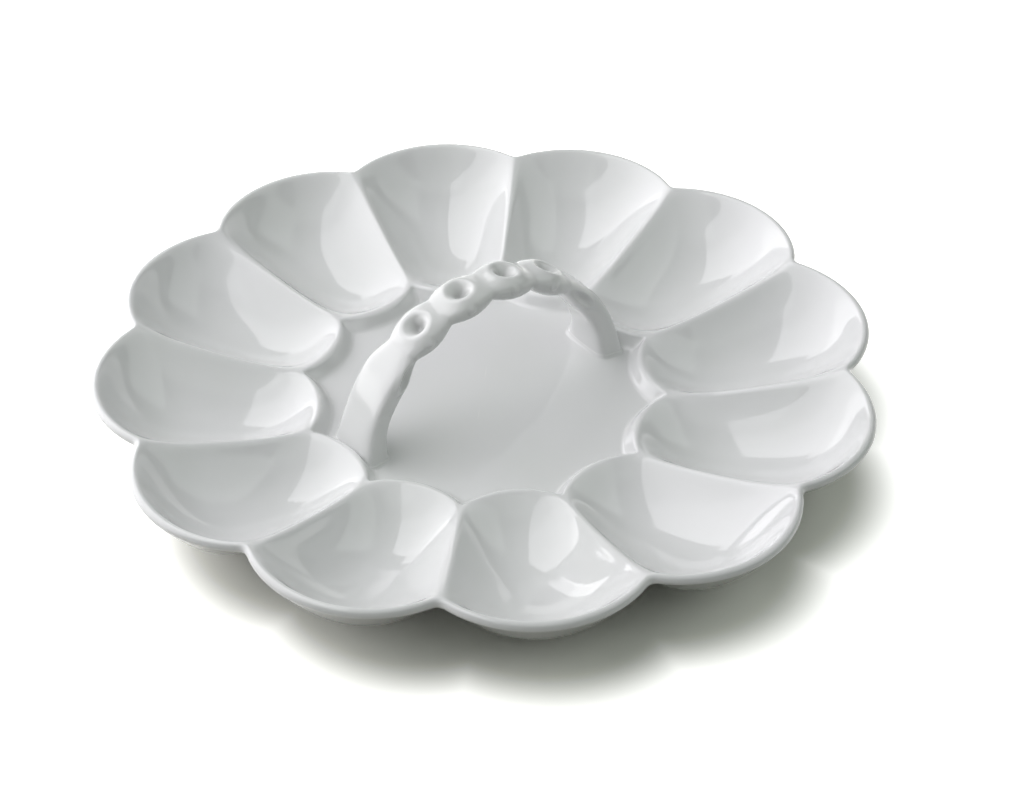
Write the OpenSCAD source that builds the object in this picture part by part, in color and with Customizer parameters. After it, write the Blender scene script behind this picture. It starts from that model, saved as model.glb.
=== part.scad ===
/* [Rim] */
// Number of egg wells around the dish
wells = 12; // [8:2:16]
// Distance from the centre to the notches between the lobes of the rim
notch_r = 132; // [115:1:155]
// How far a lobe bulges beyond a straight line between its two notches
lobe_bulge = 16.8; // [10:0.2:22]
// Height of the rim above the table
rim_h = 35; // [31:0.5:42]

/* [Wells] */
// Distance from the centre to the inner ends of the ridges between the wells
ridge_end_r = 69.8; // [64:0.2:76]
// How far an inner lip bulges towards the centre between two ridge ends
lip_bulge = 6; // [3:0.2:8]
// Height of the inner lips above the table
lip_h = 17.7; // [16:0.1:20]
// Depth of a well below the slope from its lip to its rim
well_depth = 17.5; // [12:0.5:18]
// Sag of the ridges below the same slope
ridge_sag = 2.4; // [0:0.2:5]

/* [Dish] */
// Height of the centre dish's upper face above the table
floor_h = 12.6; // [11:0.1:14]
// Thickness of the centre dish
floor_t = 4.6; // [4:0.1:6]
// Width of the cove between the dish and the top of an inner lip
cove_w = 4.5; // [3:0.1:5.5]
// Thickness of the wells' walls, and of the rim
wall = 4; // [3:0.1:4.6]

/* [Foot ring] */
// Radius of the middle of the ring that the platter stands on
foot_r = 65.5; // [45:0.5:66]
// Width of the foot ring where it meets the body
foot_w = 7; // [5:0.1:8]
// Width of the flat tread at the bottom of the foot ring
tread_w = 3.4; // [2:0.1:4.5]

/* [Handle] */
// Distance from the inner lips back to the handle's outer face, at the dish
handle_inset = 1.2; // [0.4:0.1:6]
// Rise of the handle's crown above the dish
handle_rise = 53.3; // [46:0.5:64]
// Width of the handle's legs
leg_w = 18.8; // [16:0.2:22]
// Width of the handle at its feet
foot_end_w = 24; // [20:0.2:25]
// Width of the handle at a bead
bead_w = 19; // [17:0.2:22]
// Width of the handle at the neck beside a bead
neck_w = 14.8; // [12:0.2:17]
// Thickness of the handle's legs
leg_t = 8.5; // [7:0.1:10]
// Thickness of the handle at its feet
foot_end_t = 10; // [8:0.1:11]
// Thickness of the handle at a bead
bead_t = 9.4; // [7.5:0.1:10.5]
// Thickness of the handle at the neck beside a bead
neck_t = 7.4; // [6:0.1:9]
// How far a bead stands out of the strap's outer face
bead_rise = 0.8; // [0:0.1:1.5]
// Number of beads on the crown of the handle
beads = 4; // [2:1:5]
// Angle along the arch from one bead to the next
bead_pitch = 19.6; // [17:0.2:21]
// Depth of the thumb print in each bead
print_depth = 2; // [0:0.1:2.4]
// Radius of the thumb print
print_r = 4.4; // [3:0.1:5.5]
// Turn of the handle away from the middle line of two opposite wells
handle_turn = -2.5; // [-15:0.5:15]

/* [Slip joints] */
// Thickness of the slip under each foot of the handle
slip_t = 1; // [0.6:0.1:1.6]
// How far the slip spreads beyond the foot
slip_spread = 1.2; // [0.6:0.1:1.8]

/* [Hidden] */
glaze = "#eef1ee";
bisque = "#e0d8c8";
// Gap between the handle's feet and the cove beside them
seat_gap = 0.3;
// Breadth of the underside's turn from the foot ring's land into the wells
land_blend = 14;
// Radius of the rounding on the foot ring's tread
tread_round = 1.2;
// Turn along the arch in which a leg reaches its full width
shoulder_angle = 12;
// Turn along the arch over which a foot flares
flare_angle = 16;
// Squareness of the strap's section: 2 is an ellipse
strap_power_share = 3.6;
// How much wider the strap's outer face is than its middle
face_taper_share = 0.06;
// Where along its length a well is deepest, from its inner lip
deepest_share = 0.51;
// Steepness of a well's ends, at its lip and at its rim: 2 is a parabola
lip_power_share = 2.5;
rim_power_share = 3.4;
// How sharply a bead rounds off into its necks
bead_round_share = 0.8;
// Inner edge of the well's surface and the rim's rounding, as shares of the rim's radius
well_end_share = 0.7;
well_drop_share = 0.3;
// Where the rim's rounding begins, underneath, and ends, on top, up from level
rim_under_angle = -45;
rim_top_angle = 110;
// Steps along a half well, the well's length, the cove, the rim, the underside and the handle
half_steps = 5;
well_steps = 12;
cove_steps = 4;
rim_steps = 5;
under_steps = 8;
arch_steps = 96;
ring_steps = 32;
tread_steps = 8;

// Half the angle of one well, seen from the centre
half_angle = 180/wells;
rim_r = wall/2;
land_h = floor_h - floor_t;
land_r = foot_r + foot_w/2 + tread_round;

// Radius of the arc through two points half_chord either side of a line, bulging beyond it
function arc_r(half_chord, bulge) = (half_chord*half_chord + bulge*bulge)/(2*bulge);
lobe_r = arc_r(notch_r*sin(half_angle), lobe_bulge);
lobe_c = notch_r*cos(half_angle) + lobe_bulge - lobe_r;
lip_r = arc_r(ridge_end_r*sin(half_angle), lip_bulge);
lip_c = ridge_end_r*cos(half_angle) - lip_bulge + lip_r;

function mix(a, b, share) = a + (b - a)*share;
function clip(x) = min(1, max(0, x));
function ease(x) = clip(x)*clip(x)*(3 - 2*clip(x));

// Angle of a direction from the middle of its well
function from_middle(az) = az - 2*half_angle*round(az/(2*half_angle));
// Distance from the centre to the rim's crest, moved outwards by a width
function rim_at(t, out) = lobe_c*cos(t) + sqrt(pow(lobe_r + out, 2) - pow(lobe_c*sin(t), 2));
// Distance from the centre to the inner lip's crest, moved inwards by a width
function lip_at(t, inwards) = lip_c*cos(t) - sqrt(pow(lip_r + inwards, 2) - pow(lip_c*sin(t), 2));

// Outer edge of a well's surface, where the rounding of the rim begins
function well_end(t) = rim_at(t, -rim_r*well_end_share);
well_end_h = rim_h - rim_r*well_drop_share;
// Depth of the bowl across a well: full on its middle line, only the sag on its ridges
function bowl(t) = mix(well_depth, ridge_sag, pow(t/half_angle, 2));
function well_share(t, r) = clip((r - lip_at(t, 0))/(well_end(t) - lip_at(t, 0)));
// Depth along a well as a share of its depth, and how fast it changes
function fullness(s) = s < deepest_share
    ? 1 - pow(1 - s/deepest_share, lip_power_share)
    : 1 - pow((s - deepest_share)/(1 - deepest_share), rim_power_share);
function fullness_slope(s) = s < deepest_share
    ? lip_power_share/deepest_share*pow(1 - s/deepest_share, lip_power_share - 1)
    : -rim_power_share/(1 - deepest_share)
      *pow((s - deepest_share)/(1 - deepest_share), rim_power_share - 1);
function well_h(t, r) =
    let (s = well_share(t, r))
    mix(lip_h, well_end_h, s) - fullness(s)*bowl(t);

// Slopes of a well's surface, outwards and across, which set its wall's upright thickness
function slope_out(t, r) =
    (well_end_h - lip_h - fullness_slope(well_share(t, r))*bowl(t))/(well_end(t) - lip_at(t, 0));
function slope_across(t, r) =
    fullness(well_share(t, r))*(well_depth - ridge_sag)*2*abs(t)/(half_angle*half_angle)*180/(PI*r);
function upright_wall(t, r) =
    wall*sqrt(1 + pow(slope_out(t, r), 2) + pow(slope_across(t, r), 2));
function under_h(t, r) =
    mix(land_h, well_h(t, r) - upright_wall(t, r), ease((r - land_r)/land_blend));

// One ring of points around the platter, at the radius and height that a row gives
azimuths = [for (i = [0 : 2*half_steps*wells - 1]) i*half_angle/half_steps];
function loop(radii, heights) =
    [for (i = [0 : len(azimuths) - 1])
        [radii[i]*cos(azimuths[i]), radii[i]*sin(azimuths[i]), heights[i]]];

// The cove that climbs from the dish to the crest of an inner lip
function cove_row(share) =
    loop([for (a = azimuths) lip_at(from_middle(a), cove_w*(1 - share))],
         [for (a = azimuths) mix(floor_h, lip_h, ease(share))]);
function well_row(share) =
    let (radii = [for (a = azimuths)
        mix(lip_at(from_middle(a), 0), well_end(from_middle(a)), share)])
    loop(radii, [for (i = [0 : len(azimuths) - 1]) well_h(from_middle(azimuths[i]), radii[i])]);
function rim_row(angle) =
    loop([for (a = azimuths) rim_at(from_middle(a), rim_r*cos(angle))],
         [for (a = azimuths) rim_h - rim_r + rim_r*sin(angle)]);
function under_row(share) =
    let (radii = [for (a = azimuths) mix(land_r, well_end(from_middle(a)), share)])
    loop(radii, [for (i = [0 : len(azimuths) - 1]) under_h(from_middle(azimuths[i]), radii[i])]);

// Faces of a closed skin: rows of equal length, with a point at each end
function skin_faces(rows, n) = concat(
    [for (i = [0 : n - 1]) [0, 1 + i, 1 + (i + 1) % n]],
    [for (k = [0 : rows - 2], i = [0 : n - 1])
        let (a = 1 + k*n + i, b = 1 + k*n + (i + 1) % n)
        each [[a, a + n, b], [b, a + n, b + n]]],
    [for (i = [0 : n - 1])
        let (last = 1 + (rows - 1)*n)
        [last + n, last + (i + 1) % n, last + i]]);
module skin(start, rows, end) {
    polyhedron(points = concat([start], [for (row = rows) each row], [end]),
               faces = skin_faces(len(rows), len(rows[0])));
}

module platter_body() {
    rows = concat(
        [for (k = [0 : under_steps]) under_row(k/under_steps)],
        [for (k = [0 : rim_steps]) rim_row(mix(rim_under_angle, rim_top_angle, k/rim_steps))],
        [for (k = [0 : well_steps]) well_row(1 - k/well_steps)],
        [for (k = [1 : cove_steps]) cove_row(1 - k/cove_steps)]);
    color(glaze)
        skin([0, 0, land_h], rows, [0, 0, floor_h]);
}

// The ring that the platter stands on: left bare, with a rounded tread
module foot_ring() {
    color(bisque)
        rotate_extrude($fn = 180)
            polygon(concat(
                [[foot_r - foot_w/2, land_h], [foot_r - tread_w/2 - tread_round, tread_round]],
                [for (k = [1 : tread_steps])
                    let (a = mix(180, 270, k/tread_steps))
                    [foot_r - tread_w/2 + tread_round*cos(a), tread_round*(1 + sin(a))]],
                [for (k = [0 : tread_steps - 1])
                    let (a = mix(270, 360, k/tread_steps))
                    [foot_r + tread_w/2 + tread_round*cos(a), tread_round*(1 + sin(a))]],
                [[foot_r + tread_w/2 + tread_round, tread_round], [foot_r + foot_w/2, land_h]]));
}

// The handle's outer face follows one arc over the dish, from one inner lip to the other
seat_h = floor_h + slip_t;
handle_reach = lip_c - lip_r - handle_inset;
arch_r = (handle_reach*handle_reach + handle_rise*handle_rise)/(2*handle_rise);
arch_h = floor_h + handle_rise - arch_r;
crown_angle = bead_pitch*beads/2;
foot_angle = acos((seat_h - arch_h)/arch_r);
// How far a place on the arch, given by its angle from the crown, is into a bead
function bead_share(a) =
    abs(a) < crown_angle ? pow(abs(sin(180*(a + crown_angle)/bead_pitch)), bead_round_share) : 0;
function flare(a) = pow(clip((abs(a) - foot_angle + flare_angle)/flare_angle), 2);
function strap_w(a) =
    mix(neck_w, leg_w, ease((abs(a) - crown_angle)/shoulder_angle))
    + (bead_w - neck_w)*bead_share(a) + (foot_end_w - leg_w)*flare(a);
function strap_t(a) =
    mix(neck_t, leg_t, ease((abs(a) - crown_angle)/shoulder_angle))
    + (bead_t - neck_t)*bead_share(a) + (foot_end_t - leg_t)*flare(a);
function print_at(a, y) =
    let (step = bead_pitch, near = step*(round((a - crown_angle)/step - 1/2) + 1/2) + crown_angle)
    abs(a) < crown_angle
        ? print_depth*exp(-(pow((a - near)*PI/180*arch_r, 2) + y*y)*2/(print_r*print_r)) : 0;

// A superellipse: distance inwards from the arc and distance sideways
function section(a, turn) =
    let (reach = pow(pow(abs(cos(turn)), strap_power_share) + pow(abs(sin(turn)), strap_power_share),
                     -1/strap_power_share),
         n = reach*cos(turn),
         y = reach*sin(turn)*strap_w(a)/2*(1 + face_taper_share*n))
    [strap_t(a)*(1 - n)/2 - bead_rise*bead_share(a) + max(0, n)*print_at(a, y), y];

// How far up the cove a height is, as a share of the cove's width
function cove_share(z) = 1/2 - sin(asin(1 - 2*clip((z - floor_h)/(lip_h - floor_h)))/3);
// A point turned with the handle, and kept clear of the cove behind the feet
function seated(p) =
    let (az = atan2(p[1], p[0]) + handle_turn,
         most = lip_at(from_middle(az), cove_w*(1 - cove_share(p[2]))) - seat_gap,
         r = p[2] < lip_h ? min(norm([p[0], p[1]]), most) : norm([p[0], p[1]]))
    [r*cos(az), r*sin(az), p[2]];

// A point of the strap: lean runs from 0 at the right foot to 1 at the left foot
function strap_point(lean, turn) =
    let (s = section(mix(foot_angle, -foot_angle, lean), turn),
         r = arch_r - s[0],
         end = acos((seat_h - arch_h)/r),
         a = mix(end, -end, lean))
    seated([r*sin(a), s[1], arch_h + r*cos(a)]);
function turns() = [for (i = [0 : ring_steps - 1]) 360*i/ring_steps];
function mean(points, i) = (max([for (p = points) p[i]]) + min([for (p = points) p[i]]))/2;
function middle(points) = [for (i = [0 : 2]) mean(points, i)];

module handle() {
    rows = [for (k = [0 : arch_steps]) [for (t = turns()) strap_point(k/arch_steps, t)]];
    color(glaze)
        skin(middle(rows[0]), rows, middle(rows[arch_steps]));
}

// Slip squeezed out under a foot: the foot's own outline on top, spread out on the dish
module slip_joint(lean) {
    foot = [for (t = turns()) strap_point(lean, lean == 0 ? t : -t)];
    centre = middle(foot);
    base = [for (p = foot)
        let (d = [p[0] - centre[0], p[1] - centre[1]], spread = 1 + slip_spread/norm(d),
             x = centre[0] + d[0]*spread, y = centre[1] + d[1]*spread, az = atan2(y, x),
             r = min(norm([x, y]), lip_at(from_middle(az), cove_w) - seat_gap))
        [r*cos(az), r*sin(az), floor_h]];
    color(glaze)
        skin([centre[0], centre[1], floor_h], [base, foot], centre);
}
module right_slip_joint() {
    slip_joint(0);
}
module left_slip_joint() {
    slip_joint(1);
}

platter_body();
foot_ring();
handle();
left_slip_joint();
right_slip_joint();
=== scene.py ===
"""The looks of a white porcelain deviled egg platter with a beaded arch handle.

All lengths are in metres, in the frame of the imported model: +Z up, +X along the middle line of two wells.
"""
import math

import bpy
import numpy as np
from mathutils import Matrix, Vector, noise


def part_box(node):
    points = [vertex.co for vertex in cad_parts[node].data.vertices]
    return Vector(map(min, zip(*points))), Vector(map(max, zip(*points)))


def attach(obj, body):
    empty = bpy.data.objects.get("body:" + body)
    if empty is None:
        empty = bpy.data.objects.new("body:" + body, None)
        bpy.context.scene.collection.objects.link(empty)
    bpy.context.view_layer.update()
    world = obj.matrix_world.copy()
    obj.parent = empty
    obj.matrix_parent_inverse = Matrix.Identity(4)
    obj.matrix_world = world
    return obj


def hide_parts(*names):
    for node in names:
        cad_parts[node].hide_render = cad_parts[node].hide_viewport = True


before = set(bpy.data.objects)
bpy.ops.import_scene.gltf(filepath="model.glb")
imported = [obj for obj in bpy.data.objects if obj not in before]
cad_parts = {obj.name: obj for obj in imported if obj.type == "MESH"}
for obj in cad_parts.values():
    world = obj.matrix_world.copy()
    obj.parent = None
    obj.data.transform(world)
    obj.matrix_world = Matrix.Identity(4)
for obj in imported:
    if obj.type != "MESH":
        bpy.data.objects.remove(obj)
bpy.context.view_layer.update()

MM = 0.001
RIM_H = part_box("platter_body")[1].z
LAND_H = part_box("foot_ring")[1].z
FLOOR_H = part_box("right_slip_joint")[0].z

# The plan of the platter: twelve lobes, and an inner lip for each
WELLS = 12
HALF_ANGLE = math.pi/WELLS
NOTCH_R = 132*MM
LOBE_BULGE = 16.75*MM
RIDGE_END_R = 71*MM
LIP_BULGE = 6.2*MM
LIP_H = 17.7*MM

# The shape of a well, and of the rounded edges around it
WELL_DEPTH = 17.5*MM
RIDGE_SAG = 1.95*MM
BOWL_POWER = 2.1
DEEPEST_SHARE = 0.51
LIP_POWER = 2.5
RIM_POWER = 3.4
WALL = 4*MM
RIM_ROUND = 1.9*MM
LIP_ROUND = 2.8*MM
COVE_ROUND = 2.6*MM
COVE_LEAN = math.radians(58)
SOFT_TURN = math.radians(13)
WAVINESS = 0.1*MM
WAVE_SCALE = 28
LAND_BLEND = 14*MM

# The body's control points: columns across half a well, and rows from the underside to the dish's middle
COLUMN_SHARES = (0, 0.17, 0.34, 0.50, 0.64, 0.75, 0.835, 0.90)
LAND_RADII = (6*MM, 25*MM, 45*MM, 60*MM)
UNDER_SHARES = (0.1, 0.2, 0.3, 0.4, 0.52, 0.64, 0.76, 0.86, 0.94)
WELL_SHARES = (0.955, 0.91, 0.85, 0.78, 0.7, 0.6, 0.5, 0.4, 0.3, 0.21, 0.135, 0.075)
DISH_SHARES = (0.97, 0.85, 0.65, 0.4, 0.2, 0.08)
RIM_STEPS, LIP_STEPS, COVE_STEPS = 6, 4, 3
BODY_LEVELS = 2

# The foot ring, with points (outwards, upwards) from the top of its sides, where it flares into the land
FOOT_R = 65.5*MM
FOOT_TOP_W = 7*MM
FOOT_FLARE = ((1.6*MM, 0.1*MM), (0.6*MM, -0.35*MM), (0, -1.2*MM))
FOOT_TAPER = 0.15*MM
TREAD_W = 3.4*MM
TREAD_ROUND = 1.2*MM
TREAD_SIDE_H = 1.6*MM
TREAD_STEPS, FOOT_AROUND = 4, 256

# The handle: an arch of beads between two legs
HANDLE_TURN = math.radians(-2.5)
HANDLE_REACH = 60.2*MM
HANDLE_RISE = 53.3*MM
END_GAP = 0.3*MM
BEADS = 4
BEAD_PITCH = math.radians(19.6)
BEAD_ROUNDNESS = 0.8
NECK_ROUNDNESS = 0.02
BEAD_RISE, NECK_DROP = 0.3*MM, 0.7*MM
LEG_W, FOOT_END_W, BEAD_W, NECK_W = 18.8*MM, 24.2*MM, 19*MM, 14.8*MM
LEG_T, FOOT_END_T, BEAD_T, NECK_T = 9.2*MM, 11.2*MM, 9.6*MM, 6.8*MM
LEG_SQUARENESS, BEAD_SQUARENESS = 4.6, 2.7
FACE_TAPER = 0.06
SHOULDER = math.radians(12)
FLARE = math.radians(17)
STATIONS, AROUND = 300, 96

# The marks on the handle: thumb prints darkened with painted shade, and knobs and slots on its sides
PRINT_DEPTH, PRINT_R = 4.3*MM, 3.2*MM
PRINT_BORDER, PRINT_BORDER_R, PRINT_BORDER_W = 0.6*MM, 5.7*MM, 2.0*MM
PRINT_FADE = 1.6
# Reach of the painted shade around each thumb print's bottom
PRINT_SHADE_R = 3.4*MM
KNOB_RISE, KNOB_R = 0.6*MM, 1.1*MM
KNOB_MOAT, KNOB_MOAT_R, KNOB_MOAT_W = 0.2*MM, 2.2*MM, 0.7*MM
KNOB_SHIFT, KNOB_OUT = 1.2*MM, 1.0*MM
SLOT_ANGLE = math.radians(46.5)
SLOT_LENGTH, SLOT_WIDTH, SLOT_DEPTH = 3.4*MM, 1.2*MM, 0.9*MM
SLOT_BORDER, SLOT_BORDER_SHARE, SLOT_BORDER_W_SHARE = 0.7*SLOT_DEPTH, 1.9, 0.6
KNOB_SIDE_SHARE, SLOT_SIDE_SHARE, SIDE_FADE_SHARE = 0.5, 0.6, 0.3

# The fillets of slip at the handle's feet, with rows (outwards, upwards) as shares of a fillet's size:
# two inside the foot, a concave arc, and two below the dish
FILLET = 1.2*MM
FILLET_CHANGE = 0.25
FILLET_CHANGE_SCALE = 130
FILLET_INNER_SHARES = ((-1, 0.6), (-0.3, 1.02))
FILLET_OUTER_SHARES = ((1.15, -0.1), (0.6, -0.5))
FILLET_STEPS = 6
FILLET_OVERLAP = 0.02*MM


def mix(a, b, share):
    return a + (b - a)*share


def ease(x):
    x = np.clip(x, 0, 1)
    return x*x*(3 - 2*x)


def arc_radius(half_chord, bulge):
    """Radius of the arc through two points half_chord either side of a line, bulging beyond it."""
    return (half_chord**2 + bulge**2)/(2*bulge)


LOBE_R = arc_radius(NOTCH_R*math.sin(HALF_ANGLE), LOBE_BULGE)
LOBE_C = NOTCH_R*math.cos(HALF_ANGLE) + LOBE_BULGE - LOBE_R
LIP_R = arc_radius(RIDGE_END_R*math.sin(HALF_ANGLE), LIP_BULGE)
LIP_C = RIDGE_END_R*math.cos(HALF_ANGLE) - LIP_BULGE + LIP_R


def from_middle_line(azimuth):
    """The angle between an azimuth and the middle line of the well that it lies in."""
    return (azimuth + HALF_ANGLE) % (2*HALF_ANGLE) - HALF_ANGLE


def rim_at(t):
    """Distance from the centre to the rim's crest, at an angle from a well's middle line."""
    return LOBE_C*np.cos(t) + np.sqrt(LOBE_R**2 - (LOBE_C*np.sin(t))**2)


def lip_at(t, inwards=0.0):
    """Distance from the centre to the inner lip's crest, moved inwards by a width."""
    return LIP_C*np.cos(t) - np.sqrt((LIP_R + inwards)**2 - (LIP_C*np.sin(t))**2)


def bowl(q):
    """Depth of the bowl across a well: q is 0 on its middle line and 1 on its ridges."""
    return mix(WELL_DEPTH, RIDGE_SAG, q**BOWL_POWER)


def fullness(s):
    """Depth along a well as a share of its depth: 0 at the lip and at the rim, 1 where it is deepest."""
    towards_lip = 1 - (np.maximum(DEEPEST_SHARE - s, 0)/DEEPEST_SHARE)**LIP_POWER
    towards_rim = 1 - (np.maximum(s - DEEPEST_SHARE, 0)/(1 - DEEPEST_SHARE))**RIM_POWER
    return np.minimum(towards_lip, towards_rim)


def fullness_slope(s):
    """How fast the fullness changes along a well."""
    from_lip = LIP_POWER/DEEPEST_SHARE*(np.maximum(DEEPEST_SHARE - s, 0)/DEEPEST_SHARE)**(LIP_POWER - 1)
    past_it = np.maximum(s - DEEPEST_SHARE, 0)/(1 - DEEPEST_SHARE)
    return from_lip - RIM_POWER/(1 - DEEPEST_SHARE)*past_it**(RIM_POWER - 1)


def up(slope):
    """The direction square to a slope and upwards from it, by its outward and its upward part."""
    return np.stack([-np.sin(slope), np.cos(slope)])


def rounded(centre, radius, start, end, steps):
    """Rows of control points whose smoothed surface follows an arc; the ends run on into flatter surfaces."""
    turns = [mix(start, end, k/steps) for k in range(steps + 1)]
    step = abs(turns[1] - turns[0]).max()
    # A smoothed surface runs inside the arc of its control points, which this moves outwards again
    push = 3/(2 + math.cos(step)) - 1
    rows = []
    for k, turn in enumerate(turns):
        share = 0.5 if k in (0, steps) else 1
        rows.append(centre + radius*(1 + push*share)*np.stack([np.cos(turn), np.sin(turn)]))
    return rows


def body_cage():
    """Rows of control points from the middle of the underside, over the rim, to the middle of the dish."""
    shares = np.array(COLUMN_SHARES)
    half = np.concatenate([shares, [1.0], shares[:0:-1]*-1 + 2])
    az = np.concatenate([half + 2*k for k in range(WELLS)])*HALF_ANGLE
    t = from_middle_line(az)
    q = np.abs(t)/HALF_ANGLE
    depth = bowl(q)
    rim_r, lip_r = rim_at(t), lip_at(t)
    length = rim_r - lip_r
    rise = RIM_H - LIP_H
    lip_slope = np.arctan((rise - depth*fullness_slope(0))/length)
    rim_slope = np.arctan((rise - depth*fullness_slope(1))/length)

    # The rounding's centres, and the well's two ends on it
    rim_c = np.stack([rim_r, np.full_like(t, RIM_H - RIM_ROUND)])
    lip_c = np.stack([lip_r, np.full_like(t, LIP_H - LIP_ROUND)])
    start = lip_c + LIP_ROUND*up(lip_slope)
    end = rim_c + RIM_ROUND*up(rim_slope)

    def flat(r, height):
        return np.stack([r + 0*t, np.full_like(t, height)])

    def well(s):
        point = mix(start, end, s)
        point[1] -= depth*fullness(s)
        return point

    def well_up(s):
        slope = np.arctan((end[1] - start[1] - depth*fullness_slope(s))/(end[0] - start[0]))
        across = fullness(s)*(WELL_DEPTH - RIDGE_SAG)*BOWL_POWER*q**(BOWL_POWER - 1)/(HALF_ANGLE*rim_r)
        return np.cos(slope)/np.sqrt(1 + across**2)

    def under(s):
        point = well(s)
        point[1] -= WALL/well_up(s)
        into_land = ease((point[0] - land_r)/LAND_BLEND)
        point[1] = mix(LAND_H, point[1], into_land)
        return point

    land_r = FOOT_R + FOOT_TOP_W/2 + TREAD_ROUND
    rows = [flat(r, LAND_H) for r in (*LAND_RADII, land_r)]
    first = (land_r - start[0])/(end[0] - start[0])
    rows += [under(mix(first, 1, share)) for share in UNDER_SHARES]
    quarter = math.pi/2
    rows += rounded(rim_c, RIM_ROUND, rim_slope - quarter, rim_slope + quarter - SOFT_TURN, RIM_STEPS)
    rows += [well(share) for share in WELL_SHARES]
    rows += rounded(lip_c, LIP_ROUND, lip_slope + quarter + SOFT_TURN, quarter + COVE_LEAN, LIP_STEPS)
    drop = LIP_H - FLOOR_H - (LIP_ROUND + COVE_ROUND)*(1 - math.cos(COVE_LEAN))
    out = LIP_ROUND*math.sin(COVE_LEAN) + drop/math.tan(COVE_LEAN)
    for k in range(COVE_STEPS + 1):
        turn = COVE_LEAN*(1 - k/COVE_STEPS)
        w = out + COVE_ROUND*(math.sin(COVE_LEAN) - math.sin(turn))
        rows.append(flat(lip_at(t, w), FLOOR_H + COVE_ROUND*(1 - math.cos(turn))))
    edge = lip_at(t, out + COVE_ROUND*math.sin(COVE_LEAN))
    rows = [wavy(around(row, az), WAVINESS) for row in rows]
    dish = [flat(share*mix(edge.min(), edge, max(0, share*2 - 1)), FLOOR_H) for share in DISH_SHARES]
    return rows + [around(row, az) for row in dish]


def around(row, az):
    """The points of a row of distances and heights, at azimuths around the platter."""
    return np.stack([row[0]*np.cos(az), row[0]*np.sin(az), row[1]], axis=1)


def wavy(points, height):
    """Points lowered by the slow waves that drying and firing leave in a surface."""
    moved = points.copy()
    for i, p in enumerate(points):
        moved[i, 2] -= height*(0.5 + noise.noise(Vector(p)*WAVE_SCALE))
    return moved


def bands(rows, closed=False):
    """The faces between rows of equal length, the last row also joined to the first where it is closed."""
    n = len(rows[0])
    faces = []
    for k in range(len(rows) if closed else len(rows) - 1):
        a, b = k*n, (k + 1) % len(rows)*n
        faces += [(a + i, a + (i + 1) % n, b + (i + 1) % n, b + i) for i in range(n)]
    return faces


def piece_of(name, points, faces):
    mesh = bpy.data.meshes.new(name)
    mesh.from_pydata([tuple(p) for p in points], [], faces)
    piece = bpy.data.objects.new(name, mesh)
    bpy.context.scene.collection.objects.link(piece)
    return piece


def skin(name, rows, closed=False):
    """A smooth mesh from rows of equal length: capped at both ends, or closed into a ring."""
    n = len(rows[0])
    points, faces = np.concatenate(rows), bands(rows, closed)
    corners = points[np.array(faces)]
    volume = np.einsum("ij,ij->i", corners[:, 0], np.cross(corners[:, 1], corners[:, 2])).sum()
    volume += np.einsum("ij,ij->i", corners[:, 0], np.cross(corners[:, 2], corners[:, 3])).sum()
    if not closed:
        last = (len(rows) - 1)*n
        faces += [tuple(range(n))[::-1], tuple(range(last, last + n))]
    if volume < 0:
        faces = [face[::-1] for face in faces]
    piece = piece_of(name, points, faces)
    piece.data.shade_smooth()
    return piece


def subdivide(piece, levels):
    modifier = piece.modifiers.new("smooth", "SUBSURF")
    modifier.levels = modifier.render_levels = levels
    return piece


def foot_ring():
    """The ring on the underside: flaring into the body, with a rounded, flat tread."""
    half, tread = FOOT_TOP_W/2, TREAD_W/2
    side = [(half + out, LAND_H + rise) for out, rise in FOOT_FLARE]
    side += [(half - FOOT_TAPER, LAND_H/2), (tread + TREAD_ROUND, TREAD_SIDE_H)]
    for k in range(TREAD_STEPS + 1):
        turn = math.pi/2*k/TREAD_STEPS
        side.append((tread + TREAD_ROUND*math.cos(turn), TREAD_ROUND*(1 - math.sin(turn))))
    profile = side + [(-w, h) for w, h in side[::-1]]
    az = np.linspace(0, 2*math.pi, FOOT_AROUND, endpoint=False)
    return [around((FOOT_R + w, np.full_like(az, h)), az) for w, h in profile]


ARCH_R = arc_radius(HANDLE_REACH, HANDLE_RISE)
ARCH_H = FLOOR_H + HANDLE_RISE - ARCH_R
CROWN_ANGLE = BEAD_PITCH*BEADS/2
END_H = FLOOR_H + END_GAP
FOOT_ANGLE = math.acos((END_H - ARCH_H)/ARCH_R)
BEAD_ANGLES = [BEAD_PITCH*(k - (BEADS - 1)/2) for k in range(BEADS)]


def bead_share(a):
    """0 in the necks between beads and on the legs, 1 in the middle of a bead."""
    wave = np.sin(math.pi*(a + CROWN_ANGLE)/BEAD_PITCH)**2
    least, most = (w**(BEAD_ROUNDNESS/2) for w in (NECK_ROUNDNESS, 1 + NECK_ROUNDNESS))
    share = ((wave + NECK_ROUNDNESS)**(BEAD_ROUNDNESS/2) - least)/(most - least)
    return np.where(np.abs(a) < CROWN_ANGLE, share, 0)


def dent(distance, depth, radius, border, border_r, border_w):
    """Depth of a round dent with a raised border."""
    return depth*np.exp(-(distance/radius)**2) - border*np.exp(-((distance - border_r)/border_w)**2)


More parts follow.
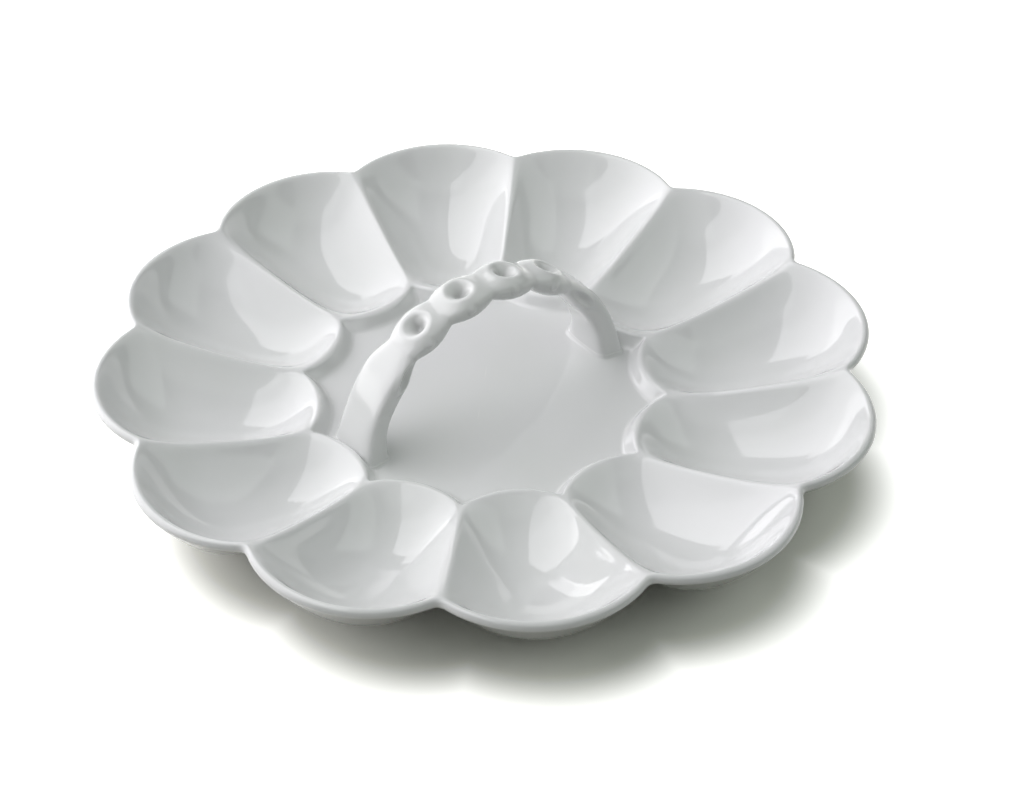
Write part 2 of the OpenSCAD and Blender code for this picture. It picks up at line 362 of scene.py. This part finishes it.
def strap(a, turn):
    """Points of the handle at angles along its arch and turns around its section."""
    leg = ease((np.abs(a) - CROWN_ANGLE)/SHOULDER)
    foot = np.clip((np.abs(a) - FOOT_ANGLE + FLARE)/FLARE, 0, 1)**2
    bead = bead_share(a)
    width = mix(NECK_W, LEG_W, leg) + (BEAD_W - NECK_W)*bead + (FOOT_END_W - LEG_W)*foot
    thick = mix(NECK_T, LEG_T, leg) + (BEAD_T - NECK_T)*bead + (FOOT_END_T - LEG_T)*foot
    power = mix(BEAD_SQUARENESS, LEG_SQUARENESS, leg)
    reach = (np.abs(np.cos(turn))**power + np.abs(np.sin(turn))**power)**(-1/power)
    face, side = reach*np.cos(turn), reach*np.sin(turn)
    across = side*width/2*(1 + FACE_TAPER*face)
    inwards = thick*(1 - face)/2 + NECK_DROP*(1 - bead)*(1 - leg) - BEAD_RISE*bead

    def on_side(from_share):
        """1 or -1 on a side of the strap, fading to 0 towards its outer and inner faces."""
        return np.sign(side)*ease((np.abs(side) - from_share)/SIDE_FADE_SHARE)

    for angle in BEAD_ANGLES:
        along = (a - angle)*ARCH_R
        from_print = np.hypot(along, across)
        pressed = dent(from_print, PRINT_DEPTH, PRINT_R, PRINT_BORDER, PRINT_BORDER_R, PRINT_BORDER_W)
        inwards = inwards + np.clip(face*PRINT_FADE, 0, 1)*pressed
        from_knob = np.hypot(along + KNOB_SHIFT, face*thick/2 - KNOB_OUT)
        knob = -dent(from_knob, KNOB_RISE, KNOB_R, KNOB_MOAT, KNOB_MOAT_R, KNOB_MOAT_W)
        across = across - on_side(KNOB_SIDE_SHARE)*knob
    for angle in (-SLOT_ANGLE, SLOT_ANGLE):
        from_slot = np.hypot((a - angle)*ARCH_R/SLOT_LENGTH, face*thick/2/SLOT_WIDTH)
        slot = dent(from_slot, SLOT_DEPTH, 1, SLOT_BORDER, SLOT_BORDER_SHARE, SLOT_BORDER_W_SHARE)
        across = across - on_side(SLOT_SIDE_SHARE)*slot
    r = ARCH_R - inwards
    end = np.arccos((END_H - ARCH_H)/r)
    a = a*end/FOOT_ANGLE
    x, y, z = r*np.sin(a), across, ARCH_H + r*np.cos(a)
    c, s = math.cos(HANDLE_TURN), math.sin(HANDLE_TURN)
    return np.stack([x*c - y*s, x*s + y*c, z], axis=-1)


def handle_rows():
    """The strap's sections from its right foot to its left."""
    turn = np.linspace(0, 2*math.pi, AROUND, endpoint=False)
    return [strap(np.full(AROUND, a), turn) for a in np.linspace(FOOT_ANGLE, -FOOT_ANGLE, STATIONS + 1)]


def paint_print_shade(handle):
    """Marks, point by point, how much painted shade darkens the glaze in the thumb prints."""
    points = np.array([v.co for v in handle.data.vertices])
    bottoms = [strap(np.array([angle]), np.zeros(1)) for angle in BEAD_ANGLES]
    nearest = np.min([np.linalg.norm(points - bottom, axis=1) for bottom in bottoms], axis=0)
    painted_print_shade = handle.data.attributes.new("painted_print_shade", "FLOAT", "POINT")
    painted_print_shade.data.foreach_set("value", np.exp(-(nearest/PRINT_SHADE_R)**2))


def fillet_rows(outline):
    """A concave fillet of slip around a foot's outline, its size changing a little along the way."""
    ahead, behind = np.roll(outline, -1, axis=0), np.roll(outline, 1, axis=0)
    along = (ahead - behind)[:, :2]
    outwards = np.stack([along[:, 1], -along[:, 0]], axis=1)/np.linalg.norm(along, axis=1)[:, None]
    if (outwards*(outline - outline.mean(axis=0))[:, :2]).sum() < 0:
        outwards = -outwards
    size = np.array([FILLET*(1 + FILLET_CHANGE*noise.noise(Vector(p)*FILLET_CHANGE_SCALE)) for p in outline])

    def row(out, height):
        return np.concatenate([outline[:, :2] + outwards*out[:, None], (FLOOR_H + height)[:, None]], axis=1)

    rows = [row(size*out, size*height) for out, height in FILLET_INNER_SHARES]
    for k in range(FILLET_STEPS + 1):
        turn = math.pi/2*k/FILLET_STEPS
        rows.append(row(size*(1 - math.cos(turn)) - FILLET_OVERLAP, size*(1 - math.sin(turn))))
    return rows + [row(size*out, size*height) for out, height in FILLET_OUTER_SHARES]


# The glazes: name, light and shaded colours, brightness kept in hollows under painted shade, and least and
# most roughness
GLAZES = (
    ("white_glaze", (0.742, 0.744, 0.75), (0.712, 0.721, 0.715), 0.88, 0.015, 0.035),
    ("handle_glaze", (0.73, 0.733, 0.735), (0.705, 0.715, 0.707), 0.5, 0.08, 0.13),
)
GLAZE_IOR = 1.52
TINT_SCALE, GLOSS_SCALE = 22, 70
WAVE_BUMP_SCALE, WAVE_BUMP_DETAIL, WAVE_BUMP = 30, 1.0, 0.4*MM
PEEL_SCALE, PEEL_BUMP = 900, 0.006*MM

# How pointed a surface is where the painted shade of hollows or the whiter colour of edges starts and is
# full, and that colour's share
POINTED_FLAT, POINTED_HOLLOW = 0.5, 0.44
POINTED_EDGE, POINTED_SHARPEST = 0.52, 0.6
POINTED_SHARE = 0.5
EDGE_COLOUR = (0.80, 0.80, 0.79)
# Brightness kept at the bottom of a thumb print under its painted shade
PRINT_SHADE_SHARE = 0.6

# Iron specks: one in each of a share of the cells, dark in its core
SPECK_SCALE = 75
SPECK_SIZE = 0.028
SPECK_CORE_SHARE = 0.6
SPECK_SHARE = 0.035
SPECK_SURE_SHARE = 0.9
SPECK_COLOUR = (0.30, 0.28, 0.25)

# The unglazed clay, and where its tread is worn: from a height down, in patches
CLAY_DARK, CLAY_LIGHT, CLAY_WORN = (0.69, 0.665, 0.60), (0.75, 0.73, 0.67), (0.52, 0.49, 0.44)
CLAY_SCALE, CLAY_DETAIL = 90, 4.0
WORN_LOW, WORN_HIGH = 0.1*MM, 0.8*MM
WORN_SCALE, WORN_DETAIL, WORN_LEAST, WORN_MOST = 240, 3.0, 0.1, 0.7
WORN_FROM, WORN_TO = 0.4, 0.6
CLAY_ROUGH_SCALE, CLAY_SMOOTHEST, CLAY_ROUGHEST = 400, 0.7, 0.95
GRAIN_SCALE, GRAIN_DETAIL, GRAIN_BUMP = 2600, 3.0, 0.05*MM

# Nearly all values of a noise lie between these
NOISE_LOW, NOISE_HIGH = 0.3, 0.7

# The colour sockets of a mix node: two inputs and an output
MIX_FIRST, MIX_SECOND, MIX_RESULT = 6, 7, 2


class Maker:
    """Adds nodes to a material, and joins them."""

    def __init__(self, name):
        self.material = bpy.data.materials.new(name)
        self.material.use_nodes = True
        self.tree = self.material.node_tree
        self.shader = self.tree.nodes["Principled BSDF"]
        self.place = self.add("ShaderNodeTexCoord").outputs["Object"]

    def add(self, kind, **values):
        node = self.tree.nodes.new(kind)
        for key, value in values.items():
            setattr(node, key, value)
        return node

    def join(self, source, target):
        self.tree.links.new(source, target)

    def calculate(self, operation, first, second):
        node = self.add("ShaderNodeMath", operation=operation)
        self.join(first, node.inputs[0])
        self.join(second, node.inputs[1])
        return node.outputs[0]

    def part(self, kind, source, output):
        """One output of a node that takes its first input apart."""
        node = self.add(kind)
        self.join(source, node.inputs[0])
        return node.outputs[output]

    def noise(self, scale, detail=2.0):
        node = self.add("ShaderNodeTexNoise")
        self.join(self.place, node.inputs["Vector"])
        node.inputs["Scale"].default_value = scale
        node.inputs["Detail"].default_value = detail
        return node.outputs["Fac"]

    def spread(self, value, low, high, start=NOISE_LOW, end=NOISE_HIGH):
        """A value mapped from start..end to low..high."""
        node = self.add("ShaderNodeMapRange")
        self.join(value, node.inputs["Value"])
        for key, number in (("From Min", start), ("From Max", end), ("To Min", low), ("To Max", high)):
            node.inputs[key].default_value = number
        return node.outputs["Result"]

    def blend(self, share, first, second):
        """A colour between two others, each a colour or an output."""
        node = self.add("ShaderNodeMix", data_type="RGBA")
        self.join(share, node.inputs["Factor"])
        for index, colour in ((MIX_FIRST, first), (MIX_SECOND, second)):
            if isinstance(colour, tuple):
                node.inputs[index].default_value = (*colour, 1)
            else:
                self.join(colour, node.inputs[index])
        return node.outputs[MIX_RESULT]

    def bump(self, height, distance, below=None):
        node = self.add("ShaderNodeBump")
        node.inputs["Strength"].default_value = 1
        node.inputs["Distance"].default_value = distance
        self.join(height, node.inputs["Height"])
        if below is not None:
            self.join(below, node.inputs["Normal"])
        return node.outputs["Normal"]


def glaze(name, light, shade, hollow, smoothest, roughest):
    """White glaze: greyer with painted shade in hollows, creases and thumb prints, where the glaze also runs
    thicker, with faint waves, orange peel and a few iron specks.
    """
    made = Maker(name)
    inputs = made.shader.inputs
    colour = made.blend(made.spread(made.noise(TINT_SCALE), 0, 1), shade, light)
    pointed = made.add("ShaderNodeNewGeometry").outputs["Pointiness"]
    # Painted shade: darker in hollows and creases, such as where the fillets meet the dish, where the glaze
    # also runs thicker
    painted_hollow_shade = made.spread(pointed, 0, POINTED_SHARE, POINTED_FLAT, POINTED_HOLLOW)
    colour = made.blend(painted_hollow_shade, colour, tuple(hollow*c for c in shade))
    on_edge = made.spread(pointed, 0, POINTED_SHARE, POINTED_EDGE, POINTED_SHARPEST)
    colour = made.blend(on_edge, colour, EDGE_COLOUR)
    # Painted shade in the thumb prints, darkest at their bottoms
    print_shade_share = made.add("ShaderNodeAttribute", attribute_name="painted_print_shade").outputs["Fac"]
    colour = made.blend(print_shade_share, colour, tuple(PRINT_SHADE_SHARE*c for c in shade))
    cells = made.add("ShaderNodeTexVoronoi")
    made.join(made.place, cells.inputs["Vector"])
    cells.inputs["Scale"].default_value = SPECK_SCALE
    dot = made.spread(cells.outputs["Distance"], 1, 0, SPECK_SIZE*SPECK_CORE_SHARE, SPECK_SIZE)
    lot = made.part("ShaderNodeSeparateColor", cells.outputs["Color"], 0)
    chosen = made.spread(lot, 1, 0, SPECK_SHARE*SPECK_SURE_SHARE, SPECK_SHARE)
    speck = made.calculate("MULTIPLY", dot, chosen)
    made.join(made.blend(speck, colour, SPECK_COLOUR), inputs["Base Color"])
    made.join(made.spread(made.noise(GLOSS_SCALE), smoothest, roughest), inputs["Roughness"])
    inputs["IOR"].default_value = GLAZE_IOR
    waves = made.bump(made.noise(WAVE_BUMP_SCALE, WAVE_BUMP_DETAIL), WAVE_BUMP)
    made.join(made.bump(made.noise(PEEL_SCALE), PEEL_BUMP, below=waves), inputs["Normal"])
    return made.material


def bare_porcelain(name):
    """Unglazed, slightly rough clay: worn and darkened along the tread."""
    made = Maker(name)
    inputs = made.shader.inputs
    colour = made.blend(made.spread(made.noise(CLAY_SCALE, CLAY_DETAIL), 0, 1), CLAY_DARK, CLAY_LIGHT)
    height = made.part("ShaderNodeSeparateXYZ", made.place, "Z")
    tread = made.spread(height, 1, 0, WORN_LOW, WORN_HIGH)
    patches = made.spread(made.noise(WORN_SCALE, WORN_DETAIL), WORN_LEAST, WORN_MOST, WORN_FROM, WORN_TO)
    worn = made.calculate("MULTIPLY", tread, patches)
    made.join(made.blend(worn, colour, CLAY_WORN), inputs["Base Color"])
    made.join(made.spread(made.noise(CLAY_ROUGH_SCALE), CLAY_SMOOTHEST, CLAY_ROUGHEST), inputs["Roughness"])
    made.join(made.bump(made.noise(GRAIN_SCALE, GRAIN_DETAIL), GRAIN_BUMP), inputs["Normal"])
    return made.material


WHITE_GLAZE, HANDLE_GLAZE = (glaze(*values) for values in GLAZES)
BARE = bare_porcelain("bare_porcelain")


def finished(piece, node, material):
    """Gives a piece its material, hangs it under the root, and hides the CAD node that it stands for."""
    piece.data.materials.append(material)
    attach(piece, "root")
    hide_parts(node)


body = subdivide(skin("glazed_body", body_cage()), BODY_LEVELS)
finished(body, "platter_body", WHITE_GLAZE)
finished(skin("bare_foot_ring", foot_ring(), closed=True), "foot_ring", BARE)
rows = handle_rows()
handle = skin("beaded_handle", rows)
# Paints shade into the thumb prints
paint_print_shade(handle)
finished(handle, "handle", HANDLE_GLAZE)
finished(skin("right_fillet", fillet_rows(rows[0])), "right_slip_joint", HANDLE_GLAZE)
finished(skin("left_fillet", fillet_rows(rows[-1])), "left_slip_joint", HANDLE_GLAZE)

# The camera, as fitted to the photograph: its place, its lens, and where its axis meets the picture
PHOTO_W, PHOTO_H = 1024, 792
SENSOR = 36.0
FOCAL_PX = 1905.56
CENTRE_PX = (380.94, 407.96)
CAM_DISTANCE = 5.1852*NOTCH_R
CAM_ELEVATION = math.radians(39.2865)
CAM_ROLL = math.radians(-2.6847)
AIM = (-0.2936*NOTCH_R, -0.2552*NOTCH_R)
WELL_AZIMUTH = math.radians(34.944)

turn_to_row = Matrix.Rotation(-WELL_AZIMUTH, 3, "Z")
back = Vector((0, -math.cos(CAM_ELEVATION), math.sin(CAM_ELEVATION)))
level = Vector((1, 0, 0))
rise = back.cross(level)
right = math.cos(CAM_ROLL)*level + math.sin(CAM_ROLL)*rise
top = -math.sin(CAM_ROLL)*level + math.cos(CAM_ROLL)*rise
lens = bpy.data.cameras.new("camera")
camera = bpy.data.objects.new("camera", lens)
bpy.context.scene.collection.objects.link(camera)
axes = Matrix((turn_to_row @ right, turn_to_row @ top, turn_to_row @ back)).transposed()
place = turn_to_row @ (Vector((*AIM, 0)) + back*CAM_DISTANCE) + Vector((0, 0, RIM_H))
camera.matrix_world = Matrix.Translation(place) @ axes.to_4x4()
lens.sensor_width = SENSOR
lens.lens = FOCAL_PX*SENSOR/PHOTO_W
lens.shift_x = (PHOTO_W/2 - CENTRE_PX[0])/PHOTO_W
lens.shift_y = (CENTRE_PX[1] - PHOTO_H/2)/PHOTO_W
bpy.context.scene.camera = camera


def softbox(name, middle, across, along, brightness, colour):
    """A rectangle of light, by its middle and two edges: each to the right, away from the camera and up."""
    middle, across, along = (turn_to_row @ Vector(v) for v in (middle, across, along))
    data = bpy.data.lights.new(name, "AREA")
    data.shape = "RECTANGLE"
    data.size, data.size_y = across.length, along.length
    data.energy = math.pi*data.size*data.size_y*brightness
    data.color = colour
    lamp = bpy.data.objects.new(name, data)
    bpy.context.scene.collection.objects.link(lamp)
    x = across.normalized()
    away = across.cross(along).normalized()
    away *= math.copysign(1, away.dot(middle))
    lamp.matrix_world = Matrix.Translation(middle) @ Matrix((x, away.cross(x), away)).transposed().to_4x4()


# Daylight from a tall window that leans over the platter from the left, and pale surroundings. A pane runs
# from a start to an end across the window, and from an upper to a lower edge down it
COOL, PALE = (0.99, 0.978, 1.0), (0.94, 1.0, 0.95)
WINDOW_CORNER = Vector((-0.10, 0.79, 1.11))
WINDOW_ACROSS = Vector((0.127, 0.986, 0.106))
WINDOW_DOWN = Vector((-0.527, 0.162, -0.834))
PANES = (
    ("window_corner", -0.30, 0.0, 0.62, 1.20, 2.10),
    ("window_back", 0.0, 0.88, 0.0, 1.10, 2.54),
    ("window_front", 0.88, 1.27, 0.0, 1.10, 1.95),
    ("sill", 0.0, 1.27, 1.10, 1.27, 2.10),
)
SURROUNDINGS = (
    ("high_right", (1.06, 0, 1.06), (0, 1.5, 0), (-0.64, 0, 0.64), 1.0),
    ("low_right", (1.45, 0.13, 0.36), (-0.1, 1.2, 0), (-0.12, 0, 0.58), 0.25),
    ("front", (0, -0.86, 1.23), (1.6, 0, 0), (0, 0.74, 0.51), 0.66),
)
for name, start, end, upper, lower, brightness in PANES:
    middle = WINDOW_CORNER + WINDOW_DOWN*(upper + lower)/2 - WINDOW_ACROSS*(start + end)/2
    softbox(name, middle, WINDOW_ACROSS*(end - start), WINDOW_DOWN*(lower - upper), brightness, COOL)
for values in SURROUNDINGS:
    softbox(*values, PALE)

WORLD_COLOUR = (0.048, 0.054, 0.050)
world = bpy.data.worlds.new("world")
bpy.context.scene.world = world
world.use_nodes = True
world.node_tree.nodes["Background"].inputs["Color"].default_value = (*WORLD_COLOUR, 1)
bpy.context.scene.view_settings.view_transform = "Standard"

# White paper, brighter to the camera than to the platter: plain white but for the shadow, whose edge is
# painted by a glow that fades in around the rim's outline, moved a little away from the window. Far out it
# sweeps up into a backdrop
PAPER_FLAT, PAPER_SWEEP, PAPER_TOP = 3.2, 0.8, 1.1
FLOOR_COLOUR = (0.28, 0.28, 0.26)
SEEN_FLOOR_COLOUR = (0.97, 0.97, 0.90)
SHADOW_FROM, SHADOW_TO = -14*MM, 15*MM
SHADOW_SHIFT = (8*MM, -4*MM, 0)
SHADOW_LOBES = 0.6
PAPER_STEPS, PAPER_AROUND = 13, 360


def paper_points():
    """The paper's points and faces, and how far each point lies outside the painted shadow: 0 under the
    platter, 1 outside, where the paper glows white.
    """
    az = np.linspace(0, 2*math.pi, PAPER_AROUND, endpoint=False)
    outline = rim_at(from_middle_line(az))
    outline = mix(outline.mean(), outline, SHADOW_LOBES)
    shares = np.linspace(0, 1, PAPER_STEPS)
    profile = [(outline + mix(SHADOW_FROM, SHADOW_TO, share), 0) for share in shares]
    profile += [(PAPER_FLAT + PAPER_SWEEP*math.sin(turn), PAPER_SWEEP*(1 - math.cos(turn)))
                for turn in np.linspace(0, math.pi/2, PAPER_STEPS)]
    profile.append((PAPER_FLAT + PAPER_SWEEP, PAPER_TOP))
    shift = turn_to_row @ Vector(SHADOW_SHIFT)
    rings = [around((reach, np.full_like(az, height)), az) + np.array(shift) for reach, height in profile]
    faces = [face[::-1] for face in bands(rings)] + [tuple(range(PAPER_AROUND))]
    # The glow that paints the shadow's edge fades in along these rings
    outside_painted_shadow = np.concatenate([ease(shares), np.ones(len(profile) - PAPER_STEPS)])
    return np.concatenate(rings), faces, np.repeat(outside_painted_shadow, PAPER_AROUND)


def paper_with_painted_shadow():
    """Matt paper that glows white where it is seen, directly or in a reflection, outside the painted shadow:
    the glow fades out under the platter, which paints the shadow's edge.
    """
    paper = Maker("paper")
    paper.tree.nodes.remove(paper.shader)
    path = paper.add("ShaderNodeLightPath")
    seen = path.outputs["Is Camera Ray"]
    for ray in ("Is Glossy Ray", "Is Transmission Ray"):
        seen = paper.calculate("MAXIMUM", seen, path.outputs[ray])
    matt = paper.add("ShaderNodeBsdfDiffuse")
    paper.join(paper.blend(seen, FLOOR_COLOUR, SEEN_FLOOR_COLOUR), matt.inputs["Color"])
    # The painted shadow: no glow under the platter, full white outside its outline
    white = paper.add("ShaderNodeAttribute", attribute_name="outside_painted_shadow")
    painted_shadow_glow = paper.add("ShaderNodeEmission")
    paper.join(paper.calculate("MULTIPLY", white.outputs["Fac"], seen), painted_shadow_glow.inputs["Strength"])
    together = paper.add("ShaderNodeAddShader")
    paper.join(matt.outputs[0], together.inputs[0])
    paper.join(painted_shadow_glow.outputs[0], together.inputs[1])
    paper.join(together.outputs[0], paper.tree.nodes["Material Output"].inputs["Surface"])
    return paper.material


points, faces, outside_painted_shadow = paper_points()
floor = piece_of("floor", points, faces)
floor.data.attributes.new("outside_painted_shadow", "FLOAT", "POINT").data.foreach_set("value", outside_painted_shadow)
floor.data.materials.append(paper_with_painted_shadow())
